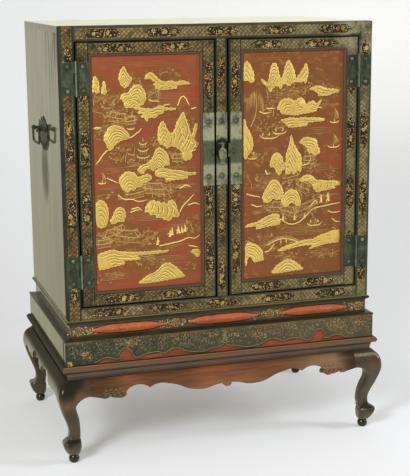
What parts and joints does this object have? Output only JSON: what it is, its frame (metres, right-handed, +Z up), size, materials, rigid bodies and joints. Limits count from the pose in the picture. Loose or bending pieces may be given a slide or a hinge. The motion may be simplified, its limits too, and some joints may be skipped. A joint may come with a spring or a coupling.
{
  "type": "cabinet on stand",
  "caption": "Lacquered cabinet with hinged panelled doors and swinging side handles, on a moulded base and a low stand with cabriole legs and ball feet.",
  "frame": {"origin": "on the floor, under the middle of the cabinet", "axes": "+Z up, the doors face -Y, +X to the right seen from the front"},
  "size_m": [1.0968, 0.7128, 1.362],
  "materials": {
    "black_lacquer": "glossy black lacquer with gilt borders",
    "red_lacquer": "worn red lacquer",
    "panel_lacquer": "red lacquer with gilt landscape",
    "bead_lacquer": "brown lacquered bead",
    "stand_wood": "polished red-brown hardwood",
    "leg_wood": "polished dark hardwood",
    "foot_black": "glossy black",
    "inner_wood": "plain softwood",
    "tarnished_brass": "tarnished grey-green metal"
  },
  "bodies": {
    "cabinet": {"base_bearers": "inner_wood", "base_cap_moulding": "black_lacquer", "base_frieze_boards": "black_lacquer", "base_frieze_front": "black_lacquer", "base_ledge": "black_lacquer", "base_skirt_boards": "black_lacquer", "base_skirt_front": "red_lacquer", "base_skirt_overlay": "black_lacquer", "cabinet_nails": "tarnished_brass", "carcass_back": "inner_wood", "carcass_bottom": "inner_wood", "carcass_side_left": "black_lacquer", "carcass_side_right": "black_lacquer", "carcass_top": "black_lacquer", "face_rail_bottom": "black_lacquer", "face_rail_top": "black_lacquer", "face_stile_left": "black_lacquer", "face_stile_right": "black_lacquer", "handle_plates": "tarnished_brass", "handle_posts": "tarnished_brass", "hinge_frame_leaves": "tarnished_brass", "hinge_pins": "tarnished_brass", "lock_plate_mullion": "tarnished_brass", "mullion": "black_lacquer", "pull_staple": "tarnished_brass", "shelf_bearers": "inner_wood", "shelves": "inner_wood", "stand_apron_back": "stand_wood", "stand_apron_front": "stand_wood", "stand_apron_left": "stand_wood", "stand_apron_right": "stand_wood", "stand_ball_feet": "foot_black", "stand_cross_rails": "stand_wood", "stand_leg_back_left": "leg_wood", "stand_leg_back_right": "leg_wood", "stand_leg_front_left": "leg_wood", "stand_leg_front_right": "leg_wood", "stand_top_frame": "stand_wood", "stand_waist": "stand_wood"},
    "door_left": {"door_left_bead": "bead_lacquer", "door_left_hinge_stile": "black_lacquer", "door_left_meeting_stile": "black_lacquer", "door_left_nails": "tarnished_brass", "door_left_panel": "panel_lacquer", "door_left_rails": "black_lacquer", "hinge_left_door_leaves": "tarnished_brass", "lock_plate_left": "tarnished_brass", "lock_staple_left": "tarnished_brass"},
    "door_right": {"door_right_bead": "bead_lacquer", "door_right_hinge_stile": "black_lacquer", "door_right_meeting_stile": "black_lacquer", "door_right_nails": "tarnished_brass", "door_right_panel": "panel_lacquer", "door_right_rails": "black_lacquer", "hinge_right_door_leaves": "tarnished_brass", "lock_plate_right": "tarnished_brass", "lock_staple_right": "tarnished_brass"},
    "pull": {"pendant_pull": "tarnished_brass"},
    "bail_left": {"handle_left_bail": "tarnished_brass"},
    "bail_right": {"handle_right_bail": "tarnished_brass"}
  },
  "joints": [
    {"name": "door_left_hinge", "type": "hinge", "parent": "cabinet", "child": "door_left", "pos_m": [-0.4585, -0.3175, 0.912], "axis": [0, 0, -1], "range_deg": [0, 170]},
    {"name": "door_right_hinge", "type": "hinge", "parent": "cabinet", "child": "door_right", "pos_m": [0.4585, -0.3175, 0.912], "axis": [0, 0, 1], "range_deg": [0, 170]},
    {"name": "pull_swing", "type": "hinge", "parent": "cabinet", "child": "pull", "pos_m": [0, -0.316, 0.993], "axis": [-1, 0, 0], "range_deg": [-4, 170]},
    {"name": "bail_left_swing", "type": "hinge", "parent": "cabinet", "child": "bail_left", "pos_m": [-0.5305, 0, 1.028], "axis": [0, 1, 0], "range_deg": [-25, 205]},
    {"name": "bail_right_swing", "type": "hinge", "parent": "cabinet", "child": "bail_right", "pos_m": [0.5305, 0, 1.028], "axis": [0, -1, 0], "range_deg": [-25, 205]}
  ]
}
